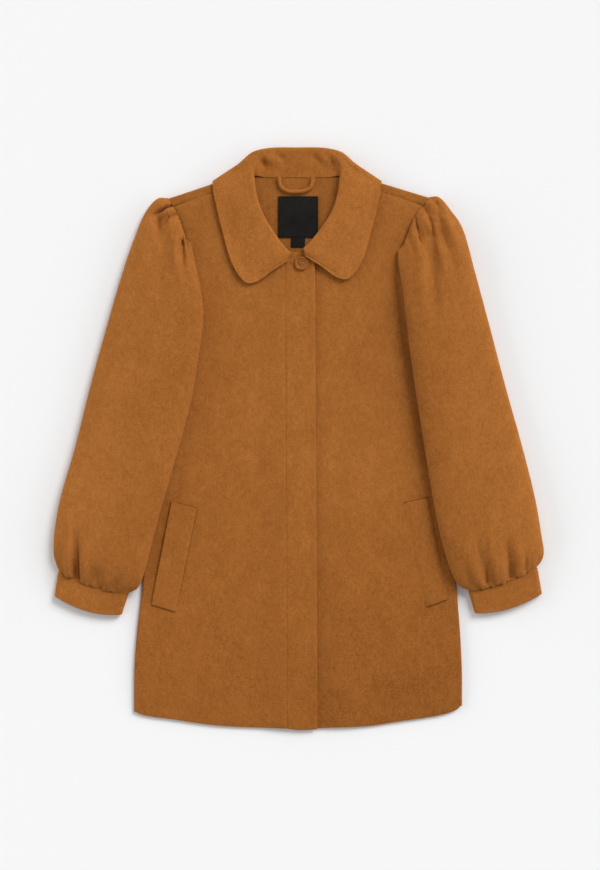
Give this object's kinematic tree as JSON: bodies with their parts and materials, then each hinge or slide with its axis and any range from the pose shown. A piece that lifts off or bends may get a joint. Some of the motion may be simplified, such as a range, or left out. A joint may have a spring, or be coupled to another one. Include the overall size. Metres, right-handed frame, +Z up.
{
  "type": "puff sleeve coat",
  "caption": "Short wool coat laid flat, with a rounded turn-down collar, covered front fly, slanted welt pockets and full sleeves gathered into plain band cuffs.",
  "frame": {"origin": "on the surface it lies on, under the middle of its overall box", "axes": "+X towards the wearer's left side, +Y from the hem to the collar, +Z up out of the front"},
  "size_m": [0.733, 0.8723, 0.0358],
  "materials": {
    "wool_cloth": "brushed wool with a short soft nap",
    "label_cloth": "smooth woven satin, no print",
    "button_horn": "satin"
  },
  "bodies": {
    "root": {"back": "wool_cloth", "front_right": "wool_cloth", "front_left": "wool_cloth", "placket": "wool_cloth", "collar": "wool_cloth", "sleeve_right": "wool_cloth", "sleeve_left": "wool_cloth", "cuff_right": "wool_cloth", "cuff_left": "wool_cloth", "pocket_welt_right": "wool_cloth", "pocket_welt_left": "wool_cloth", "hanger_loop": "wool_cloth", "label": "label_cloth", "size_tab": "label_cloth", "button": "button_horn"}
  },
  "joints": []
}
